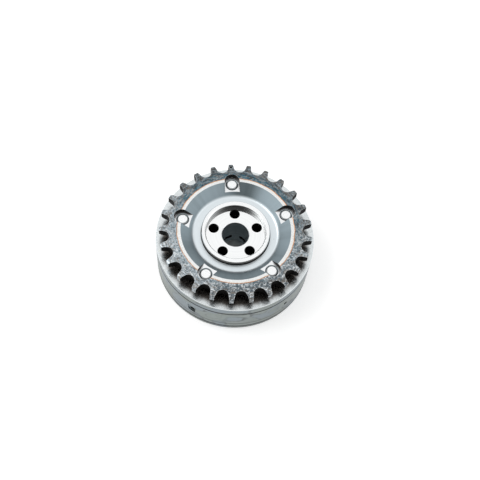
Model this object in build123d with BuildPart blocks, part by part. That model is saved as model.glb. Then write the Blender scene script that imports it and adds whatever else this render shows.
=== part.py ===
from build123d import *
import os
from math import cos, pi, radians, sin, tan

# Camshaft gear with a five-vane oil adjuster inside.
# It lies on its front cover: Z runs up from the cover's outer face, through the
# stator and the sprocket plate, to the side that takes the camshaft.
# The marked tooth and the first assembly screw point along +Y.

os.makedirs("parts", exist_ok=True)

# Chain teeth, for a simplex roller chain
chain_pitch = 9.525
roller_r = 3.175
tooth_count = 25
tooth_width = 5.0
tooth_addendum = 2.0
flank_lean = 18.0
tooth_bevel_in = 1.3
tooth_bevel_deep = 0.7
mark_r = 0.65
mark_depth = 0.5
mark_inset = 2.1

# Housing
body_r = 42.0
cover_t = 3.0
cover_opening_r = 17.5
stator_h = 20.0
flange_t = 1.7
neck_h = 3.8
neck_r = 32.5
neck_fillet = 0.8
rim_chamfer = 0.35
cover_chamfer = 0.6

# Dish in the sprocket plate
band_r = 28.8
dish_foot_r = 22.2
dish_depth = 5.1
dish_fillet = 2.5
plate_bore_chamfer = 0.3

# Chambers, lobes and vanes
vane_count = 5
stator_wall = 5.5
hub_r = 21.0
lobe_half_angle = 14.7
vane_half_angle = 11.0
stop_gap_angle = 0.2
lobe_root_fillet = 1.2
lobe_tip_fillet = 1.0
vane_root_fillet = 0.7
vane_tip_fillet = 1.5
run_gap = 0.05

# Rotor
collar_r = 18.0
collar_rise = 3.1
collar_chamfer = 0.3
recess_r = 15.7
recess_depth = 3.7
mouth_chamfer = 0.5
bore_r = 7.1
bore_chamfer = 0.3
face_hole_r = 2.65
face_hole_circle_r = 12.0
face_hole_lead = 44.1
front_recess_r = 16.6
front_recess_depth = 4.0

# Oil drillings from the bore to both sides of each vane
oil_hole_r = 1.0
oil_hole_z = 12.0
oil_inner_angle = 9.0
oil_outer_angle = 14.3

# Seals and their leaf springs
seal_w = 2.5
seal_side_gap = 0.02
seal_screw_land = 1.4
leaf_room = 0.8
leaf_w = 2.0
leaf_t = 0.2
leaf_end_gap = 2.0

# Assembly screws
screw_r = 3.0
screw_head_r = 5.5
screw_land = 0.2
screw_end_chamfer = 0.65
screw_end_rise = 0.5
screw_seat_gap = 0.03
screw_hole_r = 3.2
thread_gap = 0.05
socket_r = 1.95
socket_depth = 1.4
socket_point_count = 6
socket_dip_r = 0.5

# Screw notches in the dish
notch_r = 4.0
notch_reach = 0.6
notch_depth = 3.3
thread_mouth = 0.4

# Lock pin, its bush, spring and plug
lock_inset = 1.75
lock_pin_r = 3.0
lock_pin_length = 11.0
lock_nose_r = 2.4
lock_nose_length = 3.2
lock_nose_taper = 0.25
lock_hollow_r = 2.0
lock_hollow_depth = 7.5
lock_bush_r = 3.8
lock_bush_bore_r = 2.6
lock_bush_h = 3.5
lock_bush_floor_t = 0.6
lock_plug_t = 2.0
lock_vent_r = 0.8
spring_wire_r = 0.3
spring_wire_sides = 8
spring_coil_r = 1.6
spring_turns = 5

# Pockets in the outer wall, over two of the lobes
pocket_z = 11.7
pocket_top_w = 5.6
pocket_foot_w = 3.8
pocket_h = 6.5
pocket_depth = 0.8
pocket_lobe = 3
pit_r = 1.1
pit_depth = 2.4
pit_drop = 1.6
slot_z = 12.2
slot_w = 1.7
slot_h = 2.2
slot_depth = 1.2
slot_lobe = 2

# Levels and radii that follow
chamber_r = body_r - stator_wall
pitch_r = chain_pitch / (2 * sin(pi / tooth_count))
tip_r = pitch_r + tooth_addendum
plate_z = cover_t + stator_h
flange_top_z = plate_z + flange_t
teeth_z = flange_top_z + neck_h
top_z = teeth_z + tooth_width
dish_z = top_z - dish_depth
notch_z = top_z - notch_depth
rotor_z = cover_t + run_gap
rotor_top_z = plate_z - run_gap
rotor_h = rotor_top_z - rotor_z
collar_top_z = dish_z + collar_rise
recess_z = collar_top_z - recess_depth
plate_bore_r = collar_r + run_gap
vane_tip_r = chamber_r - run_gap
lobe_tip_r = hub_r + run_gap
lobe_root_r = (chamber_r + body_r) / 2
screw_circle_r = (hub_r + chamber_r) / 2
lock_circle_r = screw_circle_r - lock_inset
lock_bore_r = lock_pin_r + run_gap
screw_mouth_r = screw_head_r + screw_land + screw_seat_gap
seal_groove_depth = screw_circle_r - screw_hole_r - seal_screw_land - lobe_tip_r
seal_h = seal_groove_depth - leaf_room
seal_groove_w = seal_w + 2 * seal_side_gap
sector = 360 / vane_count
half_travel = sector / 2 - lobe_half_angle - vane_half_angle - stop_gap_angle


# Angles are turns about Z from +Y, against the clock when seen from above.
# The rotor stands at its locked stop, half its travel clockwise of the middle.
def lobe_turn(number):
    return -sector * number


def vane_turn(number):
    return lobe_turn(number) - sector / 2 - half_travel


lock_turn = vane_turn(0)


def turned(turn, height):
    """Plane across Z whose Y axis points out along one lobe, vane or tooth."""
    return Plane.XY.offset(height).rotated((0, 0, turn))


def wall_plane(turn, height):
    """Plane on the outer wall, seen from outside, with Y up."""
    out = Vector(0, 1, 0).rotate(Axis.Z, turn)
    return Plane(origin=out * body_r + Vector(0, 0, height), x_dir=Vector(0, 0, 1).cross(out), z_dir=out)


def side_plane(turn):
    """Plane through Z along one lobe or vane: X is the height, Y the radius."""
    across = Vector(-1, 0, 0).rotate(Axis.Z, turn)
    return Plane(origin=(0, 0, 0), x_dir=(0, 0, 1), z_dir=across)


def polar(angle, radius):
    """Point at an angle clockwise from the local Y axis."""
    return (radius * sin(radians(angle)), radius * cos(radians(angle)))


def sector_arc(half_angle, radius):
    """Arc about Z with its middle on the local Y axis."""
    return ThreePointArc(polar(-half_angle, radius), (0, radius), polar(half_angle, radius))


def at_radius(vertices, radius):
    return vertices.filter_by(lambda v: abs(Vector(v.X, v.Y, 0).length - radius) < 0.01)


def at_x(vertices, x):
    return vertices.filter_by(lambda v: abs(v.X - x) < 0.01)


def widest(edges):
    return edges.filter_by(GeomType.CIRCLE).group_by(SortBy.RADIUS)[-1]


# Sprocket plate: a turned blank with a dished top, then teeth, notches and holes
with BuildPart() as sprocket_plate:
    with BuildSketch(Plane.XZ) as blank:
        with BuildLine():
            Polyline(
                (plate_bore_r, plate_z),
                (body_r, plate_z),
                (body_r, flange_top_z),
                (neck_r, flange_top_z),
                (neck_r, teeth_z),
                (tip_r - tooth_bevel_in, teeth_z),
                (tip_r, teeth_z + tooth_bevel_deep),
                (tip_r, top_z - tooth_bevel_deep),
                (tip_r - tooth_bevel_in, top_z),
                (band_r, top_z),
                (dish_foot_r, dish_z),
                (plate_bore_r, dish_z),
                close=True,
            )
        make_face()
        fillet(at_x(blank.vertices(), dish_foot_r), dish_fillet)
        fillet(at_x(blank.vertices(), neck_r), neck_fillet)
        chamfer(at_x(blank.vertices(), body_r), rim_chamfer)
        chamfer(at_x(blank.vertices(), plate_bore_r), plate_bore_chamfer)
    revolve(axis=Axis.Z)

    # Tooth gaps: a roller seat that opens into two leaning flanks
    seat_x = roller_r * cos(radians(flank_lean))
    seat_y = pitch_r - roller_r * sin(radians(flank_lean))
    open_y = tip_r + roller_r
    open_x = seat_x + (open_y - seat_y) * tan(radians(flank_lean))
    with BuildSketch(Plane.XY.offset(teeth_z)):
        for number in range(tooth_count):
            with BuildLine(turned(360 * (number + 0.5) / tooth_count, 0)):
                ThreePointArc((-seat_x, seat_y), (0, pitch_r - roller_r), (seat_x, seat_y))
                Polyline((seat_x, seat_y), (open_x, open_y), (-open_x, open_y), (-seat_x, seat_y))
            make_face()
    extrude(amount=tooth_width, mode=Mode.SUBTRACT)

    # Timing mark near the tip of the tooth over the first screw
    with BuildSketch(Plane.XY.offset(top_z)):
        with Locations((0, tip_r - mark_inset)):
            Circle(mark_r)
    extrude(amount=-mark_depth, mode=Mode.SUBTRACT)

    # Notches that open towards the middle, each with a tapped hole in its floor
    notch_end = screw_circle_r + notch_reach
    for number in range(vane_count):
        with BuildSketch(turned(lobe_turn(number), notch_z)):
            with Locations((0, notch_end)):
                Circle(notch_r)
            with Locations((0, (notch_end + collar_r) / 2)):
                Rectangle(2 * notch_r, notch_end - collar_r)
        extrude(amount=notch_depth, mode=Mode.SUBTRACT)
        with Locations(turned(lobe_turn(number), notch_z)):
            with Locations((0, screw_circle_r)):
                CounterSinkHole(
                    screw_r + thread_gap,
                    screw_r + thread_gap + thread_mouth,
                    depth=notch_z - plate_z,
                    counter_sink_angle=90,
                )

    # Seat for the lock bush, in the face that closes the chambers
    with BuildSketch(turned(lock_turn, plate_z)):
        with Locations((0, lock_circle_r)):
            Circle(lock_bush_r)
    extrude(amount=lock_bush_h, mode=Mode.SUBTRACT)
sprocket_plate.part.label = "sprocket_plate"
export_step(sprocket_plate.part, "parts/sprocket_plate.step")

# Stator: a thick ring with lobes that reach in to the rotor hub
with BuildPart() as stator:
    with BuildSketch(Plane.XY.offset(cover_t)) as ring:
        Circle(body_r)
        Circle(chamber_r, mode=Mode.SUBTRACT)
        for number in range(vane_count):
            with BuildLine(turned(lobe_turn(number), 0)):
                Line(polar(-lobe_half_angle, lobe_tip_r), polar(-lobe_half_angle, lobe_root_r))
                sector_arc(lobe_half_angle, lobe_root_r)
                Line(polar(lobe_half_angle, lobe_root_r), polar(lobe_half_angle, lobe_tip_r))
                sector_arc(lobe_half_angle, lobe_tip_r)
            make_face()
        fillet(at_radius(ring.vertices(), chamber_r), lobe_root_fillet)
        fillet(at_radius(ring.vertices(), lobe_tip_r), lobe_tip_fillet)
    extrude(amount=stator_h)
    chamfer(widest(stator.edges()), rim_chamfer)

    # Screw hole through each lobe, and the groove for its tip seal
    with BuildSketch(Plane.XY.offset(cover_t)):
        for number in range(vane_count):
            with Locations(Location((0, 0, 0), (0, 0, lobe_turn(number)))):
                with Locations((0, screw_circle_r)):
                    Circle(screw_hole_r)
                with Locations((0, lobe_tip_r)):
                    Rectangle(seal_groove_w, 2 * seal_groove_depth)
    extrude(amount=stator_h, mode=Mode.SUBTRACT)

    # Clamping pocket with a drilled pit, and a small slot, in the outer wall
    with BuildSketch(wall_plane(lobe_turn(pocket_lobe), pocket_z)):
        with BuildLine():
            Polyline(
                (-pocket_top_w / 2, pocket_h / 2),
                (pocket_top_w / 2, pocket_h / 2),
                (pocket_foot_w / 2, -pocket_h / 2),
                (-pocket_foot_w / 2, -pocket_h / 2),
                close=True,
            )
        make_face()
    extrude(amount=-pocket_depth, mode=Mode.SUBTRACT)
    with BuildSketch(wall_plane(lobe_turn(pocket_lobe), pocket_z)):
        with Locations((0, -pit_drop)):
            Circle(pit_r)
    extrude(amount=-pit_depth, mode=Mode.SUBTRACT)
    with BuildSketch(wall_plane(lobe_turn(slot_lobe), slot_z)):
        Rectangle(slot_w, slot_h)
    extrude(amount=-slot_depth, mode=Mode.SUBTRACT)
stator.part.label = "stator"
export_step(stator.part, "parts/stator.step")

# Front cover: a plate that closes the chambers and takes the screw heads
with BuildPart() as front_cover:
    with BuildSketch():
        Circle(body_r)
        Circle(cover_opening_r, mode=Mode.SUBTRACT)
    extrude(amount=cover_t)
    chamfer(widest(front_cover.edges()).sort_by(Axis.Z)[0], cover_chamfer)
    chamfer(widest(front_cover.edges()).sort_by(Axis.Z)[-1], rim_chamfer)
    for number in range(vane_count):
        place = Vector(0, screw_circle_r, 0).rotate(Axis.Z, lobe_turn(number))
        with Locations(Plane(origin=place, z_dir=(0, 0, -1))):
            CounterSinkHole(screw_hole_r, screw_mouth_r, depth=cover_t, counter_sink_angle=90)
front_cover.part.label = "front_cover"
export_step(front_cover.part, "parts/front_cover.step")

# Rotor: hub with five vanes and a collar that comes up through the sprocket plate
with BuildPart() as rotor:
    with BuildSketch(Plane.XY.offset(rotor_z)) as star:
        Circle(hub_r)
        for number in range(vane_count):
            with BuildLine(turned(vane_turn(number), 0)):
                Line(polar(-vane_half_angle, bore_r), polar(-vane_half_angle, vane_tip_r))
                sector_arc(vane_half_angle, vane_tip_r)
                Line(polar(vane_half_angle, vane_tip_r), polar(vane_half_angle, bore_r))
                Line(polar(vane_half_angle, bore_r), polar(-vane_half_angle, bore_r))
            make_face()
        fillet(at_radius(star.vertices(), hub_r), vane_root_fillet)
        fillet(at_radius(star.vertices(), vane_tip_r), vane_tip_fillet)
    extrude(amount=rotor_h)
    with BuildSketch(Plane.XY.offset(rotor_z)):
        Circle(collar_r)
    extrude(amount=collar_top_z - rotor_z)
    chamfer(rotor.faces().sort_by(Axis.Z)[-1].edges(), collar_chamfer)

    # Recess for the camshaft's end, and the shallow one for the screw heads in front
    with BuildSketch(Plane.XY.offset(recess_z)):
        Circle(recess_r)
    extrude(amount=recess_depth, mode=Mode.SUBTRACT)
    chamfer(rotor.faces().sort_by(Axis.Z)[-1].edges().sort_by(SortBy.RADIUS)[0], mouth_chamfer)
    with BuildSketch(Plane.XY.offset(rotor_z)):
        Circle(front_recess_r)
    extrude(amount=front_recess_depth, mode=Mode.SUBTRACT)

    # Centre bore and the ring of holes, in line with the lobes
    with BuildSketch(Plane.XY.offset(rotor_z)):
        Circle(bore_r)
        with PolarLocations(face_hole_circle_r, vane_count, start_angle=90 + vane_turn(0) + face_hole_lead):
            Circle(face_hole_r)
    extrude(amount=recess_z - rotor_z, mode=Mode.SUBTRACT)
    bore_rim = rotor.edges().filter_by(GeomType.CIRCLE).filter_by(lambda e: abs(e.radius - bore_r) < 0.01)
    chamfer(bore_rim.sort_by(Axis.Z)[-1], bore_chamfer)

    # Seal grooves in the vane tips
    with BuildSketch(Plane.XY.offset(rotor_z)):
        for number in range(vane_count):
            with Locations(Location((0, 0, 0), (0, 0, vane_turn(number)))):
                with Locations((0, vane_tip_r)):
                    Rectangle(seal_groove_w, 2 * seal_groove_depth)
    extrude(amount=rotor_h, mode=Mode.SUBTRACT)

    # Lock pin bore, right through one vane
    with BuildSketch(turned(lock_turn, rotor_z)):
        with Locations((0, lock_circle_r)):
            Circle(lock_bore_r)
    extrude(amount=rotor_h, mode=Mode.SUBTRACT)

    # Pairs of oil drillings that spread from the bore to both sides of each vane
    for number in range(vane_count):
        for side in (-1, 1):
            start = Vector(*polar(side * oil_inner_angle, bore_r)).rotate(Axis.Z, vane_turn(number))
            end = Vector(*polar(side * oil_outer_angle, hub_r)).rotate(Axis.Z, vane_turn(number))
            along = (end - start).normalized()
            middle = Vector(0, 0, oil_hole_z)
            with BuildSketch(Plane(origin=start - along * oil_hole_r + middle, z_dir=along)):
                Circle(oil_hole_r)
            extrude(amount=(end - start).length + 3 * oil_hole_r, mode=Mode.SUBTRACT)
rotor.part.label = "rotor"
export_step(rotor.part, "parts/rotor.step")

# Seal bars in the vane tips and lobe tips, each pressed out by a bowed leaf spring
for number in range(vane_count):
    with BuildPart() as vane_seal:
        with BuildSketch(turned(vane_turn(number), rotor_z)):
            Circle(vane_tip_r)
            with Locations((0, vane_tip_r - seal_h)):
                Rectangle(seal_w, vane_tip_r, align=(Align.CENTER, Align.MIN), mode=Mode.INTERSECT)
        extrude(amount=rotor_h)
    vane_seal.part.label = f"vane_seal_{number + 1}"
    export_step(vane_seal.part, f"parts/vane_seal_{number + 1}.step")

    with BuildPart() as lobe_seal:
        with BuildSketch(turned(lobe_turn(number), cover_t)):
            Rectangle(seal_w, lobe_tip_r + seal_h, align=(Align.CENTER, Align.MIN))
            Circle(lobe_tip_r, mode=Mode.SUBTRACT)
        extrude(amount=stator_h)
    lobe_seal.part.label = f"lobe_seal_{number + 1}"
    export_step(lobe_seal.part, f"parts/lobe_seal_{number + 1}.step")

    # The ends of the leaf stand on the groove's floor, and its middle on the seal
    low = cover_t + leaf_end_gap
    high = plate_z - leaf_end_gap
    middle = (low + high) / 2
    for name, turn, floor, out in (
        ("vane_seal_spring", vane_turn(number), vane_tip_r - seal_groove_depth, 1),
        ("lobe_seal_spring", lobe_turn(number), lobe_tip_r + seal_groove_depth, -1),
    ):
        back = floor + out * leaf_t
        crown = floor + out * leaf_room
        with BuildPart() as leaf:
            with BuildSketch(side_plane(turn)):
                with BuildLine():
                    ThreePointArc((low, back), (middle, crown), (high, back))
                    Line((high, back), (high, floor))
                    ThreePointArc((high, floor), (middle, crown - out * leaf_t), (low, floor))
                    Line((low, floor), (low, back))
                make_face()
            extrude(amount=leaf_w / 2, both=True)
        leaf.part.label = f"{name}_{number + 1}"
        export_step(leaf.part, f"parts/{name}_{number + 1}.step")

# Assembly screws: flush heads in the cover, thread ends in the notches
for number in range(vane_count):
    place = Vector(0, screw_circle_r, 0).rotate(Axis.Z, lobe_turn(number))
    end_z = notch_z + screw_end_rise
    head_h = screw_land + screw_head_r - screw_r
    with BuildPart() as screw:
        with BuildSketch(Plane(origin=place, x_dir=(1, 0, 0), z_dir=(0, -1, 0))):
            with BuildLine():
                Polyline(
                    (0, 0),
                    (screw_head_r, 0),
                    (screw_head_r, screw_land),
                    (screw_r, head_h),
                    (screw_r, end_z - screw_end_chamfer),
                    (screw_r - screw_end_chamfer, end_z),
                    (0, end_z),
                    close=True,
                )
            make_face()
        revolve(axis=Axis(place, (0, 0, 1)))
        with BuildSketch(Plane(origin=place, x_dir=(1, 0, 0))):
            Circle(socket_r)
            with PolarLocations(socket_r, socket_point_count):
                Circle(socket_dip_r, mode=Mode.SUBTRACT)
        extrude(amount=socket_depth, mode=Mode.SUBTRACT)
    screw.part.label = f"assembly_screw_{number + 1}"
    export_step(screw.part, f"parts/assembly_screw_{number + 1}.step")

# Lock pin: hollow from below, with a tapered nose that rides on the sprocket plate
lock_axis = Axis(Vector(0, lock_circle_r, 0).rotate(Axis.Z, lock_turn), (0, 0, 1))
lock_section = Plane(origin=lock_axis.position, x_dir=(1, 0, 0), z_dir=(0, -1, 0))
pin_foot_z = rotor_top_z - lock_pin_length
hollow_top_z = pin_foot_z + lock_hollow_depth
with BuildPart() as lock_pin:
    with BuildSketch(lock_section):
        with BuildLine():
            Polyline(
                (0, hollow_top_z),
                (lock_hollow_r, hollow_top_z),
                (lock_hollow_r, pin_foot_z),
                (lock_pin_r, pin_foot_z),
                (lock_pin_r, rotor_top_z - lock_nose_length),
                (lock_nose_r, rotor_top_z - lock_nose_length),
                (lock_nose_r - lock_nose_taper, rotor_top_z),
                (0, rotor_top_z),
                close=True,
            )
        make_face()
    revolve(axis=lock_axis)
lock_pin.part.label = "lock_pin"
export_step(lock_pin.part, "parts/lock_pin.step")

# Lock plug: pressed into the foot of the pin's bore, with a vent for leaked oil
with BuildPart() as lock_plug:
    with BuildSketch(Plane(origin=lock_axis.position + Vector(0, 0, rotor_z))):
        Circle(lock_bore_r)
        Circle(lock_vent_r, mode=Mode.SUBTRACT)
    extrude(amount=lock_plug_t)
lock_plug.part.label = "lock_plug"
export_step(lock_plug.part, "parts/lock_plug.step")

# Lock spring: stands on the plug and reaches up into the hollow pin.
# Its wire has a few flat sides, because a round one makes a very heavy mesh.
spring_foot_z = rotor_z + lock_plug_t
spring_h = hollow_top_z - spring_foot_z - 2 * spring_wire_r
with BuildPart() as lock_spring:
    with BuildLine():
        coil = Helix(
            pitch=spring_h / spring_turns,
            height=spring_h,
            radius=spring_coil_r,
            center=lock_axis.position + Vector(0, 0, spring_foot_z + spring_wire_r),
        )
    with BuildSketch(Plane(origin=coil @ 0, z_dir=coil % 0)):
        RegularPolygon(spring_wire_r, spring_wire_sides)
    sweep(path=coil.edge(), is_frenet=True)
lock_spring.part.label = "lock_spring"
export_step(lock_spring.part, "parts/lock_spring.step")

# Lock bush: a hardened cup in the plate, where the pin drops in at the locked stop
with BuildPart() as lock_bush:
    with BuildSketch(turned(lock_turn, plate_z)):
        with Locations((0, lock_circle_r)):
            Circle(lock_bush_r)
    extrude(amount=lock_bush_h)
    with BuildSketch(turned(lock_turn, plate_z)):
        with Locations((0, lock_circle_r)):
            Circle(lock_bush_bore_r)
    extrude(amount=lock_bush_h - lock_bush_floor_t, mode=Mode.SUBTRACT)
lock_bush.part.label = "lock_bush"
export_step(lock_bush.part, "parts/lock_bush.step")
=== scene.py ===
import math

import bpy
from mathutils import Matrix, Vector


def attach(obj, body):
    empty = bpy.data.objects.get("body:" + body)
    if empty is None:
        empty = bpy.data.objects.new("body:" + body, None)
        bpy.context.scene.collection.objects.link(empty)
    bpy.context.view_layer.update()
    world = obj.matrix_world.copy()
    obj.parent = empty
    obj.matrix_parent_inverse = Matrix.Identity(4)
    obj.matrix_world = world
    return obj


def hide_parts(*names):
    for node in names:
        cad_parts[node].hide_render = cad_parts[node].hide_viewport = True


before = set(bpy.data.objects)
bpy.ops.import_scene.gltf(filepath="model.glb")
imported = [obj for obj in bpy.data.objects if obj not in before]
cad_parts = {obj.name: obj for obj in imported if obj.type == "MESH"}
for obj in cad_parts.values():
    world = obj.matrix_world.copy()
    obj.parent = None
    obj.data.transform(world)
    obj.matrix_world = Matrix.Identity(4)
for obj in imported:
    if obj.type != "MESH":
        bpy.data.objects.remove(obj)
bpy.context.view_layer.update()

# Sizes are millimetres and angles degrees; mm turns them into Blender's metres.
# An angle goes clockwise from +Y, as seen from above the gear.
mm = 0.001
turnSteps = 300

shell = {
    "radius": 42.0,
    "coverTop": 3.0,
    "statorTop": 23.0,
    "flangeTop": 24.7,
    "rimChamfer": 0.35,
    "jointChamfer": 0.06,
    "coverChamfer": 0.6,
    "openingRadius": 17.5,
}
lobe = {
    "count": 5,
    "tipRadius": 21.05,
    "chamberRadius": 36.5,
    "halfAngle": 14.7,
}
screw = {
    "circle": 28.75,
    "radius": 3.0,
    "holeRadius": 3.2,
    "headRadius": 5.5,
    "land": 0.2,
    "seatGap": 0.03,
    "endChamfer": 0.65,
    "end": 30.7,
    "socketRadius": 1.95,
    "socketDip": 0.5,
    "socketPoints": 6,
    "socketDepth": 1.4,
}
pitchAngle = 360 / lobe["count"]
screwAngles = [pitchAngle * number for number in range(lobe["count"])]

plate = {
    "toothCount": 25,
    "chainPitch": 9.525,
    "rollerRadius": 3.175,
    "addendum": 2.0,
    "flankLean": 18.0,
    "teethFoot": 28.5,
    "top": 33.5,
    "bevelIn": 1.3,
    "bevelDeep": 0.7,
    "neckRadius": 32.5,
    "neckFillet": 0.8,
    "bandRadius": 28.8,
    "dishRadius": 22.2,
    "dishDepth": 5.1,
    "dishFillet": 2.5,
    "boreRadius": 18.05,
    "boreChamfer": 0.3,
    "notchRadius": 4.0,
    "notchReach": 0.6,
    "notchDepth": 3.3,
    "threadMouth": 0.4,
    "markRadius": 0.65,
    "markInset": 2.1,
    "markDepth": 0.5,
    "gapReach": 6.0,
}
stator = {
    "tipFillet": 1.0,
    "grooveWidth": 2.54,
    "grooveDepth": 3.1,
    "pocketAngle": 216.0,
    "pocketHeight": 11.7,
    "pocketTop": 5.6,
    "pocketFoot": 3.8,
    "pocketTall": 6.5,
    "pocketDeep": 0.8,
    "pitRadius": 1.1,
    "pitDeep": 2.4,
    "pitDrop": 1.6,
    "slotAngle": 144.0,
    "slotHeight": 12.2,
    "slotWidth": 1.7,
    "slotTall": 2.2,
    "slotDeep": 1.2,
    "lineWidth": 0.9,
    "lineDeep": 0.35,
}
pitchRadius = plate["chainPitch"] / (2 * math.sin(math.pi / plate["toothCount"]))
tipRadius = pitchRadius + plate["addendum"]
lock = {
    "circle": 27.0,
    "angle": 46.1,
    "bushRadius": 3.8,
    "bushDepth": 3.5,
}


# Modelling helpers
def clearSelection():
    if bpy.context.object and bpy.context.object.mode != "OBJECT":
        bpy.ops.object.mode_set(mode="OBJECT")
    bpy.ops.object.select_all(action="DESELECT")


def makeActive(piece):
    clearSelection()
    piece.select_set(True)
    bpy.context.view_layer.objects.active = piece


def spot(radius, angle, height=0.0):
    turn = math.radians(angle)
    return Vector((radius * math.sin(turn), radius * math.cos(turn), height)) * mm


# Profile points, angles from the radius axis
def arc(centre, radius, start, end, count):
    points = []
    for index in range(count + 1):
        angle = math.radians(start + (end - start) * index / count)
        points.append((centre[0] + radius * math.cos(angle), centre[1] + radius * math.sin(angle)))
    return points


# Merges doubles and turns every face outwards
def tidyMesh(piece):
    makeActive(piece)
    bpy.ops.object.mode_set(mode="EDIT")
    bpy.ops.mesh.select_all(action="SELECT")
    bpy.ops.mesh.remove_doubles(threshold=1e-6)
    bpy.ops.mesh.normals_make_consistent(inside=False)
    bpy.ops.object.mode_set(mode="OBJECT")


def placeMesh(piece, move=(0, 0, 0), turn=0.0, axis="Z"):
    piece.data.transform(Matrix.Rotation(math.radians(turn), 4, axis))
    piece.data.transform(Matrix.Translation(Vector(move)))


# Draws (radius, height) points in millimetres, then spins them about the gear's axis
def turnProfile(name, profile, steps=turnSteps, closed=True):
    clearSelection()
    bpy.context.tool_settings.mesh_select_mode = (True, False, False)
    bpy.ops.mesh.primitive_plane_add(size=mm)
    piece = bpy.context.object
    piece.name = name
    bpy.ops.object.mode_set(mode="EDIT")
    bpy.ops.mesh.merge(type="CENTER")
    bpy.ops.transform.translate(value=(profile[0][0] * mm, 0, profile[0][1] * mm))
    ends = profile[1:] + profile[:1] if closed else profile[1:]
    for last, point in zip(profile, ends):
        step = ((point[0] - last[0]) * mm, 0, (point[1] - last[1]) * mm)
        bpy.ops.mesh.extrude_region_move(TRANSFORM_OT_translate={"value": step})
    bpy.ops.mesh.select_all(action="SELECT")
    bpy.ops.mesh.remove_doubles(threshold=1e-6)
    bpy.ops.mesh.spin(steps=steps, angle=2 * math.pi, center=(0, 0, 0), axis=(0, 0, 1))
    tidyMesh(piece)
    return piece


# A sector of a ring about +Y, spun from a flat plate
def wedge(name, inner, outer, low, high, halfAngle, steps=8):
    clearSelection()
    bpy.ops.mesh.primitive_plane_add(size=mm)
    piece = bpy.context.object
    piece.name = name
    bpy.ops.object.mode_set(mode="EDIT")
    bpy.ops.mesh.select_all(action="SELECT")
    bpy.ops.transform.resize(value=(outer - inner, high - low, 1))
    bpy.ops.object.mode_set(mode="OBJECT")
    placeMesh(piece, turn=90, axis="X")
    placeMesh(piece, move=Vector(((outer + inner) / 2, 0, (high + low) / 2)) * mm)
    placeMesh(piece, turn=90 + halfAngle)  # the spin then goes clockwise
    bpy.ops.object.mode_set(mode="EDIT")
    bpy.ops.mesh.select_all(action="SELECT")
    bpy.ops.mesh.spin(steps=steps, angle=math.radians(2 * halfAngle), center=(0, 0, 0), axis=(0, 0, 1))
    tidyMesh(piece)
    return piece


def rod(name, radius, low, high, vertices=64):
    clearSelection()
    bpy.ops.mesh.primitive_cylinder_add(vertices=vertices, radius=radius * mm, depth=(high - low) * mm)
    piece = bpy.context.object
    piece.name = name
    placeMesh(piece, move=(0, 0, (high + low) / 2 * mm))
    return piece


# Centre in millimetres
def block(name, width, depth, height, centre):
    clearSelection()
    bpy.ops.mesh.primitive_cube_add(size=mm)
    piece = bpy.context.object
    piece.name = name
    bpy.ops.object.mode_set(mode="EDIT")
    bpy.ops.mesh.select_all(action="SELECT")
    bpy.ops.transform.resize(value=(width, depth, height))
    bpy.ops.object.mode_set(mode="OBJECT")
    placeMesh(piece, move=Vector(centre) * mm)
    return piece


# Moves all beyond a level further out, and widens it
def pushOut(piece, level, distance, widen, axis=1):
    bpy.context.tool_settings.mesh_select_mode = (True, False, False)
    chosen = [vertex.co[axis] > level * mm for vertex in piece.data.vertices]
    piece.data.polygons.foreach_set("select", [False] * len(piece.data.polygons))
    piece.data.edges.foreach_set("select", [False] * len(piece.data.edges))
    piece.data.vertices.foreach_set("select", chosen)
    makeActive(piece)
    bpy.ops.object.mode_set(mode="EDIT")
    bpy.ops.transform.resize(value=(widen, 1, 1), center_override=(0, 0, 0))
    move = [0, 0, 0]
    move[axis] = distance * mm
    bpy.ops.transform.translate(value=move)
    bpy.ops.object.mode_set(mode="OBJECT")


# A copy with its own mesh, turned clockwise about the gear's axis
def copied(piece, name, angle):
    twin = piece.copy()
    twin.data = piece.data.copy()
    twin.name = name
    bpy.context.scene.collection.objects.link(twin)
    placeMesh(twin, turn=-angle)
    return twin


# Joins copies at each angle into one mesh, and drops the first
def ringOf(piece, angles):
    copies = [copied(piece, piece.name + "Copy", angle) for angle in angles]
    bpy.data.objects.remove(piece)
    clearSelection()
    for twin in copies:
        twin.select_set(True)
    bpy.context.view_layer.objects.active = copies[0]
    bpy.ops.object.join()
    return bpy.context.object


def combine(piece, tool, operation="DIFFERENCE"):
    makeActive(piece)
    step = piece.modifiers.new("combine", "BOOLEAN")
    step.operation = operation
    step.solver = "EXACT"
    step.material_mode = "TRANSFER"
    step.object = tool
    bpy.ops.object.modifier_apply(modifier=step.name)
    bpy.data.objects.remove(tool)


def chooseEdges(piece, wanted):
    bpy.context.tool_settings.mesh_select_mode = (False, True, False)
    vertices = piece.data.vertices
    ends = [[vertices[index].co for index in edge.vertices] for edge in piece.data.edges]
    chosen = [wanted(first, second) for first, second in ends]
    piece.data.polygons.foreach_set("select", [False] * len(piece.data.polygons))
    piece.data.vertices.foreach_set("select", [False] * len(vertices))
    piece.data.edges.foreach_set("select", chosen)


# Rounds a wedge's two upright corners at one radius
def roundTips(piece, radius, halfAngle, fillet, segments=6):
    def wanted(first, second):
        upright = abs(first.z - second.z) > 5 * mm
        side = abs(math.degrees(math.atan2(first.x, first.y)))
        return upright and abs(side - halfAngle) < 0.1 and abs(first.xy.length - radius * mm) < 2e-5

    chooseEdges(piece, wanted)
    makeActive(piece)
    bpy.ops.object.mode_set(mode="EDIT")
    bpy.ops.mesh.bevel(offset=fillet * mm, segments=segments, affect="EDGES", clamp_overlap=True)
    bpy.ops.object.mode_set(mode="OBJECT")


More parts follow.
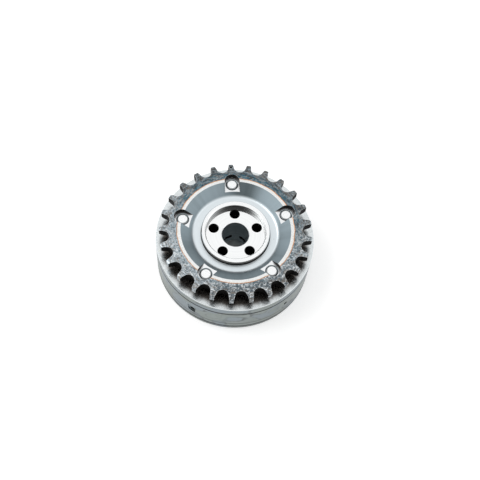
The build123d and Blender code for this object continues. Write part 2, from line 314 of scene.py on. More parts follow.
# Softens sharp edges where a width is given, and sets smooth shading
def finishEdges(piece, width=0.12, segments=2, angle=32):
    makeActive(piece)
    bpy.ops.object.mode_set(mode="EDIT")
    bpy.ops.mesh.select_all(action="SELECT")
    bpy.ops.mesh.remove_doubles(threshold=2e-6)
    bpy.ops.mesh.dissolve_limited(angle_limit=math.radians(0.3), delimit={"MATERIAL"})
    bpy.ops.object.mode_set(mode="OBJECT")
    if width:
        soft = piece.modifiers.new("soften", "BEVEL")
        soft.width = width * mm
        soft.segments = segments
        soft.limit_method = "ANGLE"
        soft.angle_limit = math.radians(angle)
        soft.use_clamp_overlap = True
        bpy.ops.object.modifier_apply(modifier=soft.name)
    bpy.ops.object.shade_smooth_by_angle(angle=math.radians(angle))
    even = piece.modifiers.new("even", "WEIGHTED_NORMAL")
    even.keep_sharp = True
    bpy.ops.object.modifier_apply(modifier=even.name)


# Gives a material to the faces that a test picks by place and normal
def paintFaces(piece, material, wanted):
    if material.name not in piece.data.materials:
        piece.data.materials.append(material)
    index = piece.data.materials.find(material.name)
    for face in piece.data.polygons:
        if wanted(face.center / mm, face.normal):
            face.material_index = index


# Shader helpers
def addNode(tree, kind, **settings):
    made = tree.nodes.new(kind)
    for name, value in settings.items():
        setattr(made, name, value)
    return made


# A number or a colour is set, an output is linked
def feed(tree, socket, value):
    if isinstance(value, (int, float)):
        socket.default_value = value
    elif isinstance(value, tuple):
        socket.default_value = value if len(value) == len(socket.default_value) else (*value, 1)
    else:
        tree.links.new(value, socket)


def calc(tree, operation, first, second=None, clamp=False):
    made = addNode(tree, "ShaderNodeMath", operation=operation, use_clamp=clamp)
    for socket, value in zip(made.inputs, (first, second)):
        if value is not None:
            feed(tree, socket, value)
    return made.outputs[0]


# 1 where a mask is 0, and 0 where it is 1
def flipped(tree, mask):
    return calc(tree, "SUBTRACT", 1.0, mask)


# 0 below low, 1 above high
def ramp(tree, value, low, high):
    made = addNode(tree, "ShaderNodeMapRange", interpolation_type="SMOOTHSTEP")
    feed(tree, made.inputs["Value"], value)
    made.inputs["From Min"].default_value = low
    made.inputs["From Max"].default_value = high
    return made.outputs["Result"]


def mixColour(tree, factor, first, second):
    made = addNode(tree, "ShaderNodeMix", data_type="RGBA", clamp_factor=True)
    feed(tree, made.inputs[0], factor)
    feed(tree, made.inputs[6], first)
    feed(tree, made.inputs[7], second)
    return made.outputs[2]


# Lays a colour over another by a share of a mask
def tint(tree, base, colour, mask, share):
    return mixColour(tree, calc(tree, "MULTIPLY", mask, share), base, colour)


def noise(tree, vector, scale, detail=3.0, roughness=0.5, distortion=0.0):
    made = addNode(tree, "ShaderNodeTexNoise")
    feed(tree, made.inputs["Vector"], vector)
    made.inputs["Scale"].default_value = scale
    feed(tree, made.inputs["Detail"], detail)
    made.inputs["Roughness"].default_value = roughness
    made.inputs["Distortion"].default_value = distortion
    return made.outputs["Fac"]


# Radius, height and angle of a point, in millimetres and degrees
def polarOf(tree, vector):
    split = addNode(tree, "ShaderNodeSeparateXYZ")
    feed(tree, split.inputs[0], vector)
    across = calc(tree, "POWER", split.outputs[0], 2.0)
    square = calc(tree, "ADD", across, calc(tree, "POWER", split.outputs[1], 2.0))
    radius = calc(tree, "MULTIPLY", calc(tree, "SQRT", square), 1 / mm)
    height = calc(tree, "MULTIPLY", split.outputs[2], 1 / mm)
    angle = calc(tree, "DEGREES", calc(tree, "ARCTAN2", split.outputs[0], split.outputs[1]))
    return radius, height, angle


def newGroup(name, inputs, outputs):
    group = bpy.data.node_groups.new(name, "ShaderNodeTree")
    for label, value in inputs:
        kind = "NodeSocketVector" if value is None else "NodeSocketFloat"
        socket = group.interface.new_socket(label, in_out="INPUT", socket_type=kind)
        if value is not None:
            socket.default_value = value
    for label in outputs:
        group.interface.new_socket(label, in_out="OUTPUT", socket_type="NodeSocketFloat")
    start = group.nodes.new("NodeGroupInput")
    end = group.nodes.new("NodeGroupOutput")
    return group, start, end


# Rings that a lathe tool leaves, across a face or along a wall
def turnedFinishGroup():
    inputs = [("Vector", None), ("Spacing", 0.12)]
    group, start, end = newGroup("turnedFinish", inputs, ["Rings", "Bands"])
    radius, height, _ = polarOf(group, start.outputs["Vector"])
    along = calc(group, "ADD", radius, calc(group, "MULTIPLY", height, 1.37))
    fine = addNode(group, "ShaderNodeTexNoise", noise_dimensions="1D")
    feed(group, fine.inputs["W"], calc(group, "DIVIDE", along, start.outputs["Spacing"]))
    fine.inputs["Scale"].default_value = 1.0
    fine.inputs["Detail"].default_value = 2.0
    coarse = addNode(group, "ShaderNodeTexNoise", noise_dimensions="1D")
    feed(group, coarse.inputs["W"], calc(group, "DIVIDE", along, start.outputs["Spacing"]))
    coarse.inputs["Scale"].default_value = 0.13
    coarse.inputs["Detail"].default_value = 1.0
    feed(group, end.inputs["Rings"], fine.outputs["Fac"])
    feed(group, end.inputs["Bands"], coarse.outputs["Fac"])
    return group


# The uneven grey of sintered and hardened steel
def mottleGroup():
    outputs = ["Patches", "Grains", "Pits", "Flecks", "Specks"]
    group, start, end = newGroup("mottle", [("Vector", None), ("Size", 1.0)], outputs)
    scaled = addNode(group, "ShaderNodeVectorMath", operation="SCALE")
    feed(group, scaled.inputs[0], start.outputs["Vector"])
    feed(group, scaled.inputs["Scale"], calc(group, "DIVIDE", 1 / mm, start.outputs["Size"]))
    vector = scaled.outputs[0]
    patches = noise(group, vector, 0.55, 5.0, 0.62, 0.6)
    feed(group, end.inputs["Patches"], ramp(group, patches, 0.36, 0.66))
    feed(group, end.inputs["Grains"], noise(group, vector, 3.2, 4.0, 0.7))
    feed(group, end.inputs["Pits"], ramp(group, noise(group, vector, 5.0, 2.0, 0.5), 0.3, 0.42))
    feed(group, end.inputs["Flecks"], ramp(group, noise(group, vector, 1.15, 3.0, 0.66), 0.5, 0.61))
    feed(group, end.inputs["Specks"], ramp(group, noise(group, vector, 0.95, 3.0, 0.68), 0.5, 0.38))
    return group


# Bright where a corner turns, broken up by noise
def wornEdgeGroup():
    group, start, end = newGroup("wornEdge", [("Vector", None), ("Reach", 0.3)], ["Wear"])
    rounded = addNode(group, "ShaderNodeBevel", samples=6)
    feed(group, rounded.inputs["Radius"], calc(group, "MULTIPLY", start.outputs["Reach"], mm))
    flat = addNode(group, "ShaderNodeNewGeometry")
    match = addNode(group, "ShaderNodeVectorMath", operation="DOT_PRODUCT")
    feed(group, match.inputs[0], rounded.outputs["Normal"])
    feed(group, match.inputs[1], flat.outputs["Normal"])
    turned = ramp(group, flipped(group, match.outputs["Value"]), 0.01, 0.12)
    broken = ramp(group, noise(group, start.outputs["Vector"], 600.0, 3.0, 0.6), 0.3, 0.62)
    feed(group, end.inputs["Wear"], calc(group, "MULTIPLY", turned, broken, clamp=True))
    return group


# The line where grinding stopped
def heatTintGroup():
    inputs = [("Vector", None), ("Radius", 30.65), ("Width", 0.28)]
    group, start, end = newGroup("heatTint", inputs, ["Line", "Inside", "Warm"])
    radius, _, _ = polarOf(group, start.outputs["Vector"])
    wander = calc(group, "SUBTRACT", noise(group, start.outputs["Vector"], 220.0, 3.0), 0.5)
    edge = calc(group, "ADD", start.outputs["Radius"], calc(group, "MULTIPLY", wander, 0.9))
    away = calc(group, "SUBTRACT", radius, edge)
    near = calc(group, "DIVIDE", calc(group, "ABSOLUTE", away), start.outputs["Width"])
    feed(group, end.inputs["Line"], flipped(group, ramp(group, near, 0.25, 1.0)))
    feed(group, end.inputs["Inside"], flipped(group, ramp(group, away, -0.1, 0.1)))
    feed(group, end.inputs["Warm"], ramp(group, away, -1.4, 0.0))
    return group


# Patches drawn out round the axis, on a face or along a wall
def streakGroup():
    inputs = [("Vector", None), ("Along", 9.0), ("Across", 1.1)]
    inputs += [("Rise", 0.0), ("Seed", 0.0), ("Detail", 3.0)]
    group, start, end = newGroup("streak", inputs, ["Streaks"])
    radius, height, _ = polarOf(group, start.outputs["Vector"])
    flat = addNode(group, "ShaderNodeVectorMath", operation="MULTIPLY")
    feed(group, flat.inputs[0], start.outputs["Vector"])
    flat.inputs[1].default_value = (1, 1, 0)
    unit = addNode(group, "ShaderNodeVectorMath", operation="NORMALIZE")
    feed(group, unit.inputs[0], flat.outputs[0])
    along = addNode(group, "ShaderNodeVectorMath", operation="SCALE")
    feed(group, along.inputs[0], unit.outputs[0])
    feed(group, along.inputs["Scale"], start.outputs["Along"])
    outwards = calc(group, "MULTIPLY", radius, start.outputs["Across"])
    upwards = calc(group, "MULTIPLY", height, start.outputs["Rise"])
    third = calc(group, "ADD", calc(group, "ADD", outwards, upwards), start.outputs["Seed"])
    across = addNode(group, "ShaderNodeCombineXYZ")
    feed(group, across.inputs[2], third)
    both = addNode(group, "ShaderNodeVectorMath", operation="ADD")
    feed(group, both.inputs[0], along.outputs[0])
    feed(group, both.inputs[1], across.outputs[0])
    streaks = noise(group, both.outputs[0], 1.0, start.outputs["Detail"], 0.55, 0.4)
    feed(group, end.inputs["Streaks"], streaks)
    return group


# A few small spots of old oil
def stainGroup():
    group, start, end = newGroup("oilStain", [("Vector", None), ("Size", 20.0)], ["Spots"])
    scaled = addNode(group, "ShaderNodeVectorMath", operation="SCALE")
    feed(group, scaled.inputs[0], start.outputs["Vector"])
    feed(group, scaled.inputs["Scale"], calc(group, "DIVIDE", 1 / mm, start.outputs["Size"]))
    drops = noise(group, scaled.outputs[0], 7.0, 3.0, 0.6)
    feed(group, end.inputs["Spots"], ramp(group, drops, 0.66, 0.74))
    return group


groups = {
    "turned": turnedFinishGroup(),
    "mottle": mottleGroup(),
    "wear": wornEdgeGroup(),
    "heat": heatTintGroup(),
    "streak": streakGroup(),
    "stain": stainGroup(),
}


def useGroup(tree, key, vector, **values):
    made = addNode(tree, "ShaderNodeGroup", node_tree=groups[key])
    tree.links.new(vector, made.inputs["Vector"])
    for name, value in values.items():
        made.inputs[name].default_value = value
    return made.outputs


def newMetal(name, metallic=1.0):
    material = bpy.data.materials.new(name)
    material.use_nodes = True
    tree = material.node_tree
    shader = tree.nodes["Principled BSDF"]
    shader.inputs["Metallic"].default_value = metallic
    place = addNode(tree, "ShaderNodeTexCoord")
    return material, tree, shader, place.outputs["Object"]


def bumpInto(tree, shader, height, distance, strength=1.0):
    bump = addNode(tree, "ShaderNodeBump")
    bump.inputs["Strength"].default_value = strength
    bump.inputs["Distance"].default_value = distance * mm
    feed(tree, bump.inputs["Height"], height)
    tree.links.new(bump.outputs["Normal"], shader.inputs["Normal"])


sinter = {
    "dark": (0.028, 0.037, 0.045),
    "mid": (0.17, 0.20, 0.22),
    "light": (0.34, 0.39, 0.42),
    # colour of the painted light on the left side
    "pale": (0.42, 0.48, 0.52),
    "fleck": (0.78, 0.81, 0.82),
    "flange": (0.72, 0.76, 0.775),
    "worn": (0.50, 0.53, 0.53),
    "band": (0.80, 0.82, 0.82),
    "warm": (0.74, 0.70, 0.64),
    "orange": (0.55, 0.27, 0.13),
    "teal": (0.03, 0.12, 0.165),
    "brown": (0.13, 0.105, 0.08),
    "olive": (0.42, 0.42, 0.22),
    # Colour of the painted shadow of the teeth on the flange, and the radii it fades out between
    "shadeUnderTeeth": (0.1, 0.089, 0.08),
    "shadeUnderTeethFrom": 34.9,
    "shadeUnderTeethTo": 38.3,
}


# Each side's angle, and the distances between which it comes in. The pale side gets painted light; the
# dark side and the back get painted shade
sides = {
    "back": (10, -20, 26),
    "pale": (255, 14, 34),
    "dark": (172, 24, 34),
}


# 0 to 1 towards one side of the gear
def sideOf(tree, place, side):
    angle, low, high = sides[side]
    towards = addNode(tree, "ShaderNodeVectorMath", operation="DOT_PRODUCT")
    feed(tree, towards.inputs[0], place)
    towards.inputs[1].default_value = spot(1 / mm, angle)
    return ramp(tree, towards.outputs["Value"], low * mm, high * mm)


# Tempering colours, strongest near the heat line, over a grey with painted light on the left and
# painted shade towards the back and the front
def blueingOf(tree, place, back, radius):
    mottle = useGroup(tree, "mottle", place, Size=1.0)
    streak = useGroup(tree, "streak", place)["Streaks"]
    other = useGroup(tree, "streak", place, Seed=40.0, Along=14.0, Across=1.5)["Streaks"]
    grey = mixColour(tree, ramp(tree, streak, 0.36, 0.62), sinter["dark"], sinter["light"])
    plain = mixColour(tree, mottle["Patches"], sinter["mid"], sinter["light"])
    # Towards the back the grey is more streaked and painted darker, with fewer bright flecks; painted
    # light on the left, painted shade at the front
    grey = mixColour(tree, calc(tree, "ADD", 0.3, calc(tree, "MULTIPLY", back, 0.6)), plain, grey)
    grey = tint(tree, grey, sinter["dark"], back, 0.32)
    grey = tint(tree, grey, sinter["pale"], sideOf(tree, place, "pale"), 0.55)
    grey = tint(tree, grey, sinter["dark"], sideOf(tree, place, "dark"), 0.5)
    lighter = calc(tree, "SUBTRACT", 0.74, calc(tree, "MULTIPLY", back, 0.6))
    grey = mixColour(tree, calc(tree, "MULTIPLY", mottle["Flecks"], lighter), grey, sinter["fleck"])
    grey = tint(tree, grey, sinter["dark"], mottle["Specks"], 0.68)
    browned = calc(tree, "MULTIPLY", ramp(tree, other, 0.5, 0.6), ramp(tree, radius, 31.0, 36.0))
    grey = tint(tree, grey, sinter["brown"], browned, 0.7)
    zone = flipped(tree, ramp(tree, radius, 32.0, 36.0))
    zone = calc(tree, "MULTIPLY", zone, calc(tree, "ADD", 0.25, calc(tree, "MULTIPLY", back, 0.75)))
    blued = calc(tree, "MULTIPLY", ramp(tree, other, 0.54, 0.44), zone)
    return tint(tree, grey, sinter["teal"], blued, 0.7), mottle


def sinteredSteel():
    material, tree, shader, place = newMetal("sinteredSteel")
    radius, height, _ = polarOf(tree, place)
    rings = useGroup(tree, "turned", place, Spacing=0.1)
    heat = useGroup(tree, "heat", place)
    wear = useGroup(tree, "wear", place, Reach=0.35)
    stain = useGroup(tree, "stain", place, Size=9.0)
    back = sideOf(tree, place, "back")
    grey, mottle = blueingOf(tree, place, back, radius)
    grey = tint(tree, grey, sinter["fleck"], wear["Wear"], 0.8)
    onTop = ramp(tree, height, plate["top"] - 0.4, plate["top"] - 0.1)
    ground = calc(tree, "MULTIPLY", heat["Inside"], onTop)
    warmed = calc(tree, "MULTIPLY", heat["Warm"], mottle["Patches"])
    band = mixColour(tree, warmed, sinter["band"], sinter["warm"])
    grey = mixColour(tree, ground, grey, band)
    grey = mixColour(tree, calc(tree, "MULTIPLY", heat["Line"], onTop), grey, sinter["orange"])
    onFlange = flipped(tree, ramp(tree, height, 25.2, 26.0))
    smooth = tint(tree, sinter["flange"], sinter["worn"], mottle["Patches"], 0.4)
    smooth = tint(tree, smooth, sinter["band"], rings["Bands"], 0.25)
    nearRim = ramp(tree, radius, 38.6, 41.0)
    spots = calc(tree, "MULTIPLY", calc(tree, "MULTIPLY", nearRim, stain["Spots"]), 0.75)
    smooth = mixColour(tree, spots, smooth, sinter["olive"])
    # Painted shadow of the teeth on the flange: dark near the neck, with brushed streaks along its
    # edge, and reaching further out on the front side
    brushed = useGroup(tree, "streak", place, Along=30.0, Across=0.1, Seed=7.0, Detail=1.0)["Streaks"]
    uneven = calc(tree, "MULTIPLY", calc(tree, "SUBTRACT", brushed, 0.5), 1.4)
    nearSide = calc(tree, "MULTIPLY", flipped(tree, back), 2.9)
    inwards = calc(tree, "ADD", calc(tree, "SUBTRACT", radius, nearSide), uneven)
    sheltered = flipped(tree, ramp(tree, inwards, sinter["shadeUnderTeethFrom"], sinter["shadeUnderTeethTo"]))
    smooth = tint(tree, smooth, sinter["shadeUnderTeeth"], sheltered, 0.985)
    feed(tree, shader.inputs["Base Color"], mixColour(tree, onFlange, grey, smooth))
    plain = calc(tree, "MAXIMUM", ground, onFlange)
    rough = calc(tree, "ADD", 0.38, calc(tree, "MULTIPLY", mottle["Flecks"], 0.12))
    rough = calc(tree, "SUBTRACT", rough, calc(tree, "MULTIPLY", plain, 0.12))
    feed(tree, shader.inputs["Roughness"], rough)
    coarse = calc(tree, "ADD", mottle["Grains"], mottle["Pits"])
    coarse = calc(tree, "MULTIPLY", coarse, flipped(tree, plain))
    height = calc(tree, "ADD", coarse, calc(tree, "MULTIPLY", rings["Rings"], 0.08))
    bumpInto(tree, shader, height, 0.06, 0.8)
    return material


dish = {
    "foot": 22.4,
    # Angle round which the cone gets a painted dark reflection
    "dimAngle": 12.0,
    "cone": (0.235, 0.295, 0.325),
    "dim": (0.06, 0.085, 0.093),
    "floor": (0.70, 0.76, 0.79),
    "ring": (0.55, 0.56, 0.58),
    "speck": (0.03, 0.03, 0.03),
}


def dishSteel():
    material, tree, shader, place = newMetal("dishSteel")
    radius, _, angle = polarOf(tree, place)
    rings = useGroup(tree, "turned", place, Spacing=0.09)
    mottle = useGroup(tree, "mottle", place, Size=1.6)
    onCone = ramp(tree, radius, dish["foot"] - 0.6, dish["foot"] + 1.2)
    # Painted reflection on the cone: dark radial fans, and a darker zone towards the back round
    # dimAngle
    reflectionFans = useGroup(tree, "streak", place, Along=2.2, Across=0.0, Seed=3.0)["Streaks"]
    shaded = calc(tree, "MULTIPLY", ramp(tree, reflectionFans, 0.4, 0.66), 0.3)
    away = calc(tree, "ABSOLUTE", calc(tree, "SUBTRACT", angle, dish["dimAngle"]))
    dimReflection = flipped(tree, ramp(tree, away, 4.0, 28.0))
    shaded = calc(tree, "ADD", shaded, calc(tree, "MULTIPLY", dimReflection, 0.85))
    cone = mixColour(tree, shaded, dish["cone"], dish["dim"])
    colour = mixColour(tree, onCone, dish["floor"], cone)
    colour = tint(tree, colour, dish["ring"], rings["Rings"], 0.16)
    specks = ramp(tree, noise(tree, place, 900.0, 2.0), 0.76, 0.8)
    colour = tint(tree, colour, dish["speck"], specks, 0.8)
    feed(tree, shader.inputs["Base Color"], colour)
    rough = calc(tree, "ADD", 0.3, calc(tree, "MULTIPLY", onCone, 0.2))
    rough = calc(tree, "ADD", rough, calc(tree, "MULTIPLY", mottle["Grains"], 0.08))
    feed(tree, shader.inputs["Roughness"], rough)
    bumpInto(tree, shader, rings["Rings"], 0.02, 0.35)
    return material


finishes = {
    "milled": {
        "base": (0.78, 0.8, 0.81),
        "pale": (0.92, 0.93, 0.94),
        "roughness": 0.3,
        "spacing": 0.3,
        "ringDepth": 0.01,
    },
    "bright": {
        "base": (0.88, 0.9, 0.91),
        "pale": (0.97, 0.98, 0.98),
        "roughness": 0.22,
        "spacing": 0.1,
        "ringDepth": 0.02,
    },
    "polished": {
        "base": (0.9, 0.915, 0.92),
        "pale": (0.97, 0.98, 0.98),
        "roughness": 0.1,
        "spacing": 0.12,
        "ringDepth": 0.006,
    },
    # darker steel for the bore, thread holes and screw sockets: partly a duller finish, partly painted
    # shade in these hollows
    "dullShaded": {
        "base": (0.31, 0.37, 0.395),
        "pale": (0.47, 0.53, 0.555),
        "roughness": 0.4,
        "spacing": 0.25,
        "ringDepth": 0.03,
    },
    "hidden": {
        "base": (0.45, 0.46, 0.47),
        "pale": (0.6, 0.61, 0.62),
        "roughness": 0.32,
        "spacing": 0.2,
        "ringDepth": 0.02,
    },
}


# Machined steel with tool rings
def plainSteel(kind):
    finish = finishes[kind]
    material, tree, shader, place = newMetal(kind + "Steel")
    rings = useGroup(tree, "turned", place, Spacing=finish["spacing"])
    mottle = useGroup(tree, "mottle", place, Size=2.2)
    wear = useGroup(tree, "wear", place, Reach=0.2)
    colour = mixColour(tree, rings["Bands"], finish["base"], finish["pale"])
    colour = tint(tree, colour, finish["base"], mottle["Patches"], 0.2)
    colour = tint(tree, colour, finish["pale"], wear["Wear"], 0.5)
    feed(tree, shader.inputs["Base Color"], colour)
    rough = calc(tree, "ADD", finish["roughness"] - 0.04, calc(tree, "MULTIPLY", mottle["Grains"], 0.1))
    feed(tree, shader.inputs["Roughness"], rough)
    bumpInto(tree, shader, rings["Rings"], finish["ringDepth"], 0.5)
    return material


wall = {
    "grey": (0.185, 0.225, 0.25),
    "film": (0.2, 0.228, 0.2),
    "pale": (0.3, 0.33, 0.345),
    "border": (0.045, 0.05, 0.05),
    "olive": (0.06, 0.055, 0.025),
    "worn": (0.6, 0.61, 0.61),
    "lineHeight": 19.3,
    "lowerLine": 6.4,
    "soiledFrom": 1.6,
    "soiledTo": 2.6,
}
# Where a film's border stands in the noise, its width there and its strength
filmBorders = [(0.5, 0.016, 0.7), (0.57, 0.009, 0.45)]
# Height and strength of each dark line round the wall
wallLines = [(shell["coverTop"], 0.9), (wall["lowerLine"], 0.55), (wall["lineHeight"], 1.0)]


def wallSteel():
    material, tree, shader, place = newMetal("wallSteel")
    rings = useGroup(tree, "turned", place, Spacing=0.2)
    mottle = useGroup(tree, "mottle", place, Size=2.5)
    stain = useGroup(tree, "stain", place, Size=16.0)
    wear = useGroup(tree, "wear", place, Reach=0.2)
    drawn = useGroup(tree, "streak", place, Along=2.4, Across=0.0, Rise=0.085, Seed=11.0, Detail=0.8)
    sweep = drawn["Streaks"]
    _, height, _ = polarOf(tree, place)
    film = ramp(tree, sweep, 0.46, 0.54)
    colour = mixColour(tree, calc(tree, "MULTIPLY", film, 0.8), wall["grey"], wall["film"])
    colour = tint(tree, colour, wall["pale"], mottle["Patches"], 0.25)
    colour = tint(tree, colour, wall["pale"], rings["Bands"], 0.2)
    for level, thin, strength in filmBorders:
        near = calc(tree, "ABSOLUTE", calc(tree, "SUBTRACT", sweep, level))
        line = flipped(tree, ramp(tree, near, thin / 3, thin))
        line = calc(tree, "MULTIPLY", line, mottle["Patches"])
        colour = mixColour(tree, calc(tree, "MULTIPLY", line, strength), colour, wall["border"])
    colour = tint(tree, colour, wall["border"], stain["Spots"], 0.45)
    colour = tint(tree, colour, wall["worn"], wear["Wear"], 0.3)
    onCover = flipped(tree, ramp(tree, height, shell["coverTop"], shell["coverTop"] + 0.6))
    colour = tint(tree, colour, wall["border"], onCover, 0.35)
    for level, strength in wallLines:
        seam = calc(tree, "ABSOLUTE", calc(tree, "SUBTRACT", height, level))
        seam = flipped(tree, ramp(tree, seam, 0.45, 0.8))
        colour = mixColour(tree, calc(tree, "MULTIPLY", seam, strength), colour, wall["border"])
    toPit = addNode(tree, "ShaderNodeVectorMath", operation="DISTANCE")
    feed(tree, toPit.inputs[0], place)
    pitHeight = stator["pocketHeight"] - stator["pitDrop"]
    toPit.inputs[1].default_value = spot(shell["radius"], stator["pocketAngle"], pitHeight)
    uneven = calc(tree, "MULTIPLY", noise(tree, place, 400.0, 2.0), mm)
    close = calc(tree, "ADD", toPit.outputs["Value"], uneven)
    soiled = flipped(tree, ramp(tree, close, wall["soiledFrom"] * mm, wall["soiledTo"] * mm))
    colour = tint(tree, colour, wall["olive"], soiled, 0.9)
    feed(tree, shader.inputs["Base Color"], colour)
    rough = calc(tree, "ADD", 0.3, calc(tree, "MULTIPLY", mottle["Grains"], 0.14))
    feed(tree, shader.inputs["Roughness"], rough)
    bumpInto(tree, shader, rings["Rings"], 0.02, 0.3)
    return material


plastic = {
    "dark": (0.20, 0.15, 0.10),
    "pale": (0.26, 0.20, 0.14),
}


def sealPlastic():
    material, tree, shader, place = newMetal("sealPlastic", metallic=0.0)
    mottle = useGroup(tree, "mottle", place, Size=0.6)
    colour = mixColour(tree, mottle["Patches"], plastic["dark"], plastic["pale"])
    feed(tree, shader.inputs["Base Color"], colour)
    shader.inputs["Roughness"].default_value = 0.55
    bumpInto(tree, shader, mottle["Grains"], 0.01, 0.4)
    return material


gap = {
    "base": (0.0012, 0.0015, 0.0018),
    "pale": (0.005, 0.0045, 0.004),
    "worn": (0.3, 0.31, 0.31),
    "gloss": 0.05,
}


# Near-black walls that shine little: painted shade in the tooth gaps, the neck, notch walls, holes and
# slots
def gapShadeSteel():
    material, tree, shader, place = newMetal("gapShadeSteel", metallic=0.0)
    mottle = useGroup(tree, "mottle", place, Size=1.2)
    wear = useGroup(tree, "wear", place, Reach=0.15)
    colour = mixColour(tree, mottle["Patches"], gap["base"], gap["pale"])
    colour = tint(tree, colour, gap["worn"], wear["Wear"], 0.1)
    feed(tree, shader.inputs["Base Color"], colour)
    shader.inputs["Roughness"].default_value = 0.5
    shader.inputs["Specular IOR Level"].default_value = gap["gloss"]
    bumpInto(tree, shader, mottle["Grains"], 0.03, 0.5)
    return material


collar = {
    "low": 28.9,
    "high": 29.9,
    "wall": (0.09, 0.083, 0.077),
    "pale": (0.15, 0.14, 0.13),
    # colour of the painted shade at the collar's foot
    "foot": (0.006, 0.006, 0.006),
}


# The collar's outer wall, with painted shade that turns it black where it goes down into the plate
def collarSteel():
    material, tree, shader, place = newMetal("collarSteel", metallic=0.0)
    _, height, _ = polarOf(tree, place)
    mottle = useGroup(tree, "mottle", place, Size=1.2)
    rings = useGroup(tree, "turned", place, Spacing=0.25)
    upper = mixColour(tree, rings["Bands"], collar["wall"], collar["pale"])
    # Painted shade: black at the foot, in the narrow gap to the plate
    colour = mixColour(tree, ramp(tree, height, collar["low"], collar["high"]), collar["foot"], upper)
    feed(tree, shader.inputs["Base Color"], colour)
    shader.inputs["Roughness"].default_value = 0.45
    shader.inputs["Specular IOR Level"].default_value = 0.2
    bumpInto(tree, shader, mottle["Grains"], 0.02, 0.4)
    return material


ringed = {
    "spacing": 1.75,
    # Where the painted shade on the far side is centred and the angles it fades out between
    "farAngle": 3.0,
    "farFrom": 12.0,
    "farTo": 64.0,
    "pale": (0.46, 0.475, 0.475),
    "mid": (0.025, 0.026, 0.026),
    "dark": (0.003, 0.0035, 0.0035),
}


# A bored wall: bright with dark tool rings, and painted shade that makes it black on its far side
def ringedSteel():
    material, tree, shader, place = newMetal("ringedSteel")
    _, height, angle = polarOf(tree, place)
    wave = calc(tree, "SINE", calc(tree, "MULTIPLY", height, 2 * math.pi / ringed["spacing"]))
    colour = mixColour(tree, ramp(tree, wave, -0.2, 0.5), ringed["pale"], ringed["mid"])
    # Painted shade on the far side of the recess wall
    off = calc(tree, "ABSOLUTE", calc(tree, "SUBTRACT", angle, ringed["farAngle"]))
    farShade = flipped(tree, ramp(tree, off, ringed["farFrom"], ringed["farTo"]))
    shader.inputs["Roughness"].default_value = 0.3
    feed(tree, shader.inputs["Base Color"], mixColour(tree, farShade, colour, ringed["dark"]))
    return material


thread = {
    "colour": (0.27, 0.285, 0.29, 1),
    "pitch": 1.0,
    "depth": 0.25,
}


def threadSteel():
    material, tree, shader, place = newMetal("threadSteel")
    _, height, _ = polarOf(tree, place)
    wave = calc(tree, "SINE", calc(tree, "MULTIPLY", height, 2 * math.pi / thread["pitch"]))
    shader.inputs["Base Color"].default_value = thread["colour"]
    shader.inputs["Roughness"].default_value = 0.35
    bumpInto(tree, shader, wave, thread["depth"])
    return material


steel = {
    "sinter": sinteredSteel(),
    "dish": dishSteel(),
    "gap": gapShadeSteel(),
    "collar": collarSteel(),
    "ringed": ringedSteel(),
    "thread": threadSteel(),
    "wall": wallSteel(),
    "seal": sealPlastic(),
}
for kind in finishes:
    steel[kind] = plainSteel(kind)
print("materials made")


# Sprocket plate
def plateProfile():
    p = plate
    foot = shell["statorTop"]
    rim = shell["rimChamfer"]
    floor = p["top"] - p["dishDepth"]
    slope = math.degrees(math.atan2(p["dishDepth"], p["bandRadius"] - p["dishRadius"]))
    reach = p["dishFillet"] * math.tan(math.radians(slope / 2))
    neck = p["neckRadius"] + p["neckFillet"]
    joint = shell["jointChamfer"]
    points = [(p["boreRadius"] + p["boreChamfer"], foot), (shell["radius"] - joint, foot)]
    points += [(shell["radius"], foot + joint), (shell["radius"], shell["flangeTop"] - rim)]
    points += [(shell["radius"] - rim, shell["flangeTop"])]
    points += arc((neck, shell["flangeTop"] + p["neckFillet"]), p["neckFillet"], 270, 180, 5)
    points += arc((neck, p["teethFoot"] - p["neckFillet"]), p["neckFillet"], 180, 90, 5)
    points += [(tipRadius - p["bevelIn"], p["teethFoot"]), (tipRadius, p["teethFoot"] + p["bevelDeep"])]
    points += [(tipRadius, p["top"] - p["bevelDeep"]), (tipRadius - p["bevelIn"], p["top"])]
    points += [(p["bandRadius"], p["top"])]
    centre = (p["dishRadius"] - reach, floor + p["dishFillet"])
    points += arc(centre, p["dishFillet"], 270 + slope, 270, 6)
    points += [(p["boreRadius"] + p["boreChamfer"], floor), (p["boreRadius"], floor - p["boreChamfer"])]
    points += [(p["boreRadius"], foot + p["boreChamfer"])]
    return points


def toothGaps():
    p = plate
    gap = rod("toothGap", p["rollerRadius"], p["teethFoot"] - 0.3, p["top"] + 0.3, vertices=72)
    lean = math.radians(p["flankLean"])
    seat = p["rollerRadius"] * math.cos(lean)
    widen = 1 + p["gapReach"] * math.tan(lean) / seat
    pushOut(gap, -p["rollerRadius"] * math.sin(lean), p["gapReach"], widen)
    placeMesh(gap, move=(0, pitchRadius * mm, 0))
    # The tooth flanks get the near-black steel: painted shade
    gap.data.materials.append(steel["gap"])
    step = 360 / p["toothCount"]
    return ringOf(gap, [step * (number + 0.5) for number in range(p["toothCount"])])


def screwNotches():
    p = plate
    notch = rod("screwNotch", p["notchRadius"], p["top"] - p["notchDepth"], p["top"] + 1)
    placeMesh(notch, turn=180)
    pushOut(notch, 0, screw["circle"] - p["boreRadius"], 1)
    placeMesh(notch, turn=180)
    placeMesh(notch, move=spot(screw["circle"] + p["notchReach"], 0))
    # Notch walls get the near-black steel, painted shade; the floor stays milled
    notch.data.materials.append(steel["gap"])
    paintFaces(notch, steel["milled"], lambda centre, normal: normal.z < -0.5)
    return ringOf(notch, screwAngles)


